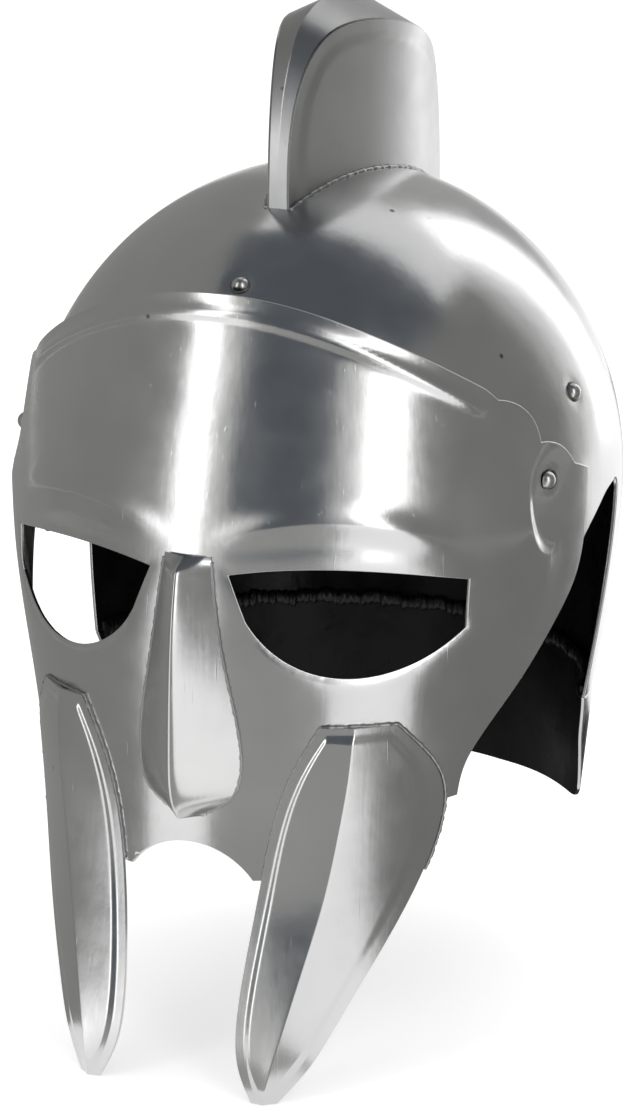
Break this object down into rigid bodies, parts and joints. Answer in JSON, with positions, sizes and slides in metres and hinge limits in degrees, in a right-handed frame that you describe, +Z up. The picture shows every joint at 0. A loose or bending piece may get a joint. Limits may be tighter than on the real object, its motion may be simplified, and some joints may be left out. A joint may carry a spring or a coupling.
{
  "type": "gladiator helmet",
  "caption": "Polished steel gladiator helmet with raised crest, fixed mask, leaf-shaped cheek plates, flared neck guard, leather liner and chin strap.",
  "frame": {"origin": "centre of the bowl on the level of its widest section, where the wearer's head sits", "axes": "+Z up; -Y the way the face looks; +X the wearer's left"},
  "size_m": [0.2128, 0.2454, 0.364],
  "materials": {
    "polished_steel": "hand-polished sheet, black lacquer inside",
    "black_lacquer": "gloss over a rough weld",
    "rivet_steel": "domed, worn",
    "buckle_steel": "bright",
    "black_leather": "grained, semi-matt",
    "waxed_lace": "waxed round lace"
  },
  "bodies": {
    "helmet": {"skull_bowl": "polished_steel", "neck_guard": "polished_steel", "face_plate": "polished_steel", "nose_guard": "polished_steel", "cheek_plate_left": "polished_steel", "cheek_plate_right": "polished_steel", "crest_side_left": "polished_steel", "crest_side_right": "polished_steel", "crest_ridge_strip": "polished_steel", "seam_bead": "black_lacquer", "liner_headband": "black_leather", "liner_tongues": "black_leather", "liner_lace": "waxed_lace", "liner_rivets": "rivet_steel", "liner_washers": "rivet_steel", "ear_rivets": "rivet_steel", "ear_washers": "rivet_steel", "chin_strap_short": "black_leather", "chin_strap_long": "black_leather", "strap_keeper_short": "black_leather", "strap_keeper_long": "black_leather"},
    "buckle_frame": {"buckle_frame": "buckle_steel"},
    "buckle_prong": {"buckle_prong": "buckle_steel"}
  },
  "joints": [
    {"name": "buckle_frame_swing", "type": "hinge", "parent": "helmet", "child": "buckle_frame", "pos_m": [0.0891, -0.03838, -0.018], "axis": [0.3515, 0.9362, 0], "range_deg": [-8, 60]},
    {"name": "buckle_prong_swing", "type": "hinge", "parent": "buckle_frame", "child": "buckle_prong", "pos_m": [0.0891, -0.03838, -0.018], "axis": [0.3515, 0.9362, 0], "range_deg": [0, 80]}
  ]
}
